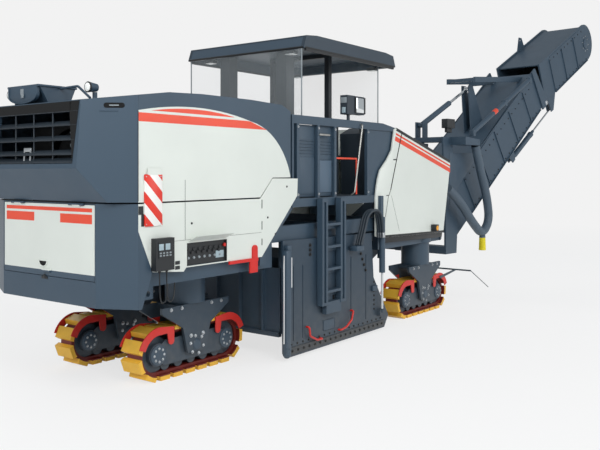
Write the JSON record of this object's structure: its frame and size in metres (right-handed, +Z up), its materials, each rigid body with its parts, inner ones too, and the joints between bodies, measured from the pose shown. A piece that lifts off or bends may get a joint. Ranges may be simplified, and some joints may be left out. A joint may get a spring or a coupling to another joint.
{
  "type": "cold planer milling machine on tracks",
  "caption": "Road milling machine on steered, height-adjustable track units with milling drum, canopy platform and folding slewing discharge conveyor.",
  "frame": {"origin": "on the ground below the middle of the whole machine", "axes": "+X forward towards the discharge conveyor, +Y left, +Z up"},
  "size_m": [16.0247, 2.73, 6.1972],
  "materials": {
    "painted_metal_1": "satin",
    "cast_iron_2": "cast",
    "aluminium_3": "matte",
    "painted_metal_4": "satin",
    "leather_5": "matte",
    "painted_metal_6": "satin",
    "painted_metal_7": "satin",
    "glass_8": "clear",
    "cast_iron_9": "cast",
    "rubber_10": "matte",
    "rubber_11": "matte",
    "chrome_12": "polished",
    "rubber_13": "matte"
  },
  "bodies": {
    "chassis": {"main_frame": "painted_metal_1", "column_sleeves": "painted_metal_1", "engine_block": "cast_iron_2", "cooler_pack": "aluminium_3", "tail_shell": "painted_metal_1", "side_panels": "painted_metal_4", "platform": "painted_metal_1", "seats": "leather_5", "consoles": "painted_metal_1", "front_body": "painted_metal_4", "front_trim": "painted_metal_1", "drum_housing": "painted_metal_1", "ladders": "painted_metal_1", "primary_conveyor": "painted_metal_1", "slew_mount": "painted_metal_1", "frame_braces": "painted_metal_1", "control_boxes": "painted_metal_1", "lock_lever": "painted_metal_1", "float_barrels": "painted_metal_1"},
    "hood": {"hood_shell": "painted_metal_1", "hood_sides": "painted_metal_4", "air_box": "painted_metal_1", "rear_grille": "painted_metal_6"},
    "tail_door": {"rear_door": "painted_metal_4"},
    "canopy": {"canopy_roof": "painted_metal_7", "canopy_posts": "painted_metal_1", "canopy_glass": "glass_8"},
    "drum": {"milling_drum": "cast_iron_9"},
    "plate_right": {"side_plate_right": "painted_metal_1"},
    "plate_left": {"side_plate_left": "painted_metal_1"},
    "rear_gate": {"scraper": "painted_metal_1"},
    "slewing": {"slew_frame": "painted_metal_1", "suction_hose": "rubber_10"},
    "boom_lower": {"conveyor_lower": "painted_metal_1", "belt_lower": "rubber_11"},
    "boom_upper": {"conveyor_upper": "painted_metal_1", "belt_upper": "rubber_11"},
    "lift_tube": {"lift_barrel": "painted_metal_1"},
    "lift_stem": {"lift_rod": "chrome_12"},
    "fold_tubes": {"fold_barrels": "painted_metal_1"},
    "fold_stems": {"fold_rods": "chrome_12"},
    "leg_rear_right": {"column_rear_right": "painted_metal_1"},
    "track_rear_right": {"track_frame_rear_right": "painted_metal_1", "track_belt_rear_right": "rubber_13"},
    "leg_rear_left": {"column_rear_left": "painted_metal_1"},
    "track_rear_left": {"track_frame_rear_left": "painted_metal_1", "track_belt_rear_left": "rubber_13"},
    "leg_front_right": {"column_front_right": "painted_metal_1"},
    "track_front_right": {"track_frame_front_right": "painted_metal_1", "track_belt_front_right": "rubber_13"},
    "leg_front_left": {"column_front_left": "painted_metal_1"},
    "track_front_left": {"track_frame_front_left": "painted_metal_1", "track_belt_front_left": "rubber_13"}
  },
  "joints": [
    {"name": "hood_hinge", "type": "hinge", "parent": "chassis", "child": "hood", "pos_m": [-5.07, 0, 3.06], "axis": [0, 1, 0], "range_deg": [0, 38]},
    {"name": "tail_door_hinge", "type": "hinge", "parent": "chassis", "child": "tail_door", "pos_m": [-7.764, 0, 2.05], "axis": [0, 1, 0], "range_deg": [0, 90]},
    {"name": "canopy_lift", "type": "slide", "parent": "chassis", "child": "canopy", "axis": [0, 0, 1], "range_m": [-0.84, 0]},
    {"name": "drum_spin", "type": "hinge", "parent": "chassis", "child": "drum", "pos_m": [-3.85, 0, 0.62], "axis": [0, 1, 0], "continuous": true},
    {"name": "side_plate_right_lift", "type": "slide", "parent": "chassis", "child": "plate_right", "axis": [0, 0, 1], "range_m": [0, 0.3]},
    {"name": "side_plate_left_lift", "type": "slide", "parent": "chassis", "child": "plate_left", "axis": [0, 0, 1], "range_m": [0, 0.3]},
    {"name": "scraper_lift", "type": "slide", "parent": "chassis", "child": "rear_gate", "axis": [0, 0, 1], "range_m": [0, 0.3]},
    {"name": "leg_rear_right_lift", "type": "slide", "parent": "chassis", "child": "leg_rear_right", "axis": [0, 0, 1], "range_m": [-0.3, 0.3]},
    {"name": "steer_rear_right", "type": "hinge", "parent": "leg_rear_right", "child": "track_rear_right", "pos_m": [-6.15, -0.48, 0.3], "axis": [0, 0, 1], "range_deg": [-15, 15]},
    {"name": "leg_rear_left_lift", "type": "slide", "parent": "chassis", "child": "leg_rear_left", "axis": [0, 0, 1], "range_m": [-0.3, 0.3]},
    {"name": "steer_rear_left", "type": "hinge", "parent": "leg_rear_left", "child": "track_rear_left", "pos_m": [-6.15, 0.74, 0.3], "axis": [0, 0, 1], "range_deg": [-15, 15]},
    {"name": "leg_front_right_lift", "type": "slide", "parent": "chassis", "child": "leg_front_right", "axis": [0, 0, 1], "range_m": [-0.3, 0.3]},
    {"name": "steer_front_right", "type": "hinge", "parent": "leg_front_right", "child": "track_front_right", "pos_m": [-1.18, -0.94, 0.3], "axis": [0, 0, 1], "range_deg": [-22, 22]},
    {"name": "leg_front_left_lift", "type": "slide", "parent": "chassis", "child": "leg_front_left", "axis": [0, 0, 1], "range_m": [-0.3, 0.3]},
    {"name": "steer_front_left", "type": "hinge", "parent": "leg_front_left", "child": "track_front_left", "pos_m": [-1.18, 0.94, 0.3], "axis": [0, 0, 1], "range_deg": [-22, 22]},
    {"name": "slew", "type": "hinge", "parent": "chassis", "child": "slewing", "pos_m": [0.85, 0, 1.9], "axis": [0, 0, 1], "range_deg": [-54, 66], "deforming": ["suction_hose"]},
    {"name": "boom_lift", "type": "hinge", "parent": "slewing", "child": "boom_lower", "pos_m": [1.09863, -0.02613, 1.5], "axis": [0.1045, 0.9945, 0], "range_deg": [-5, 25]},
    {"name": "boom_fold", "type": "hinge", "parent": "boom_lower", "child": "boom_upper", "pos_m": [5.23051, -0.46041, 4.01954], "axis": [0.1045, 0.9945, 0], "range_deg": [0, 105]},
    {"name": "lift_tube_tilt", "type": "hinge", "parent": "slewing", "child": "lift_tube", "pos_m": [0.85, 0, 3.31], "axis": [0.1045, 0.9945, 0], "range_deg": [-10, 30]},
    {"name": "lift_stem_slide", "type": "slide", "parent": "lift_tube", "child": "lift_stem", "axis": [0.8926, -0.0938, 0.441], "range_m": [-0.2, 0.82]},
    {"name": "fold_tube_tilt", "type": "hinge", "parent": "boom_lower", "child": "fold_tubes", "pos_m": [3.69217, -0.29872, 2.66086], "axis": [0.1045, 0.9945, 0], "range_deg": [-7.3, 3]},
    {"name": "fold_stem_slide", "type": "slide", "parent": "fold_tubes", "child": "fold_stems", "axis": [0.8423, -0.0885, 0.5317], "range_m": [-0.713, 0.02]}
  ],
  "couplings": [
    {"joint": "steer_front_left", "follows": "steer_front_right", "ratio": 1},
    {"joint": "steer_rear_left", "follows": "steer_rear_right", "ratio": 1},
    {"joint": "lift_tube_tilt", "follows": "boom_lift", "ratio": 1.067},
    {"joint": "lift_stem_slide", "follows": "boom_lift", "m_per_rad": 1.8061},
    {"joint": "fold_tube_tilt", "follows": "boom_fold", "ratio": -0.0405},
    {"joint": "fold_stem_slide", "follows": "boom_fold", "m_per_rad": -0.3779}
  ]
}
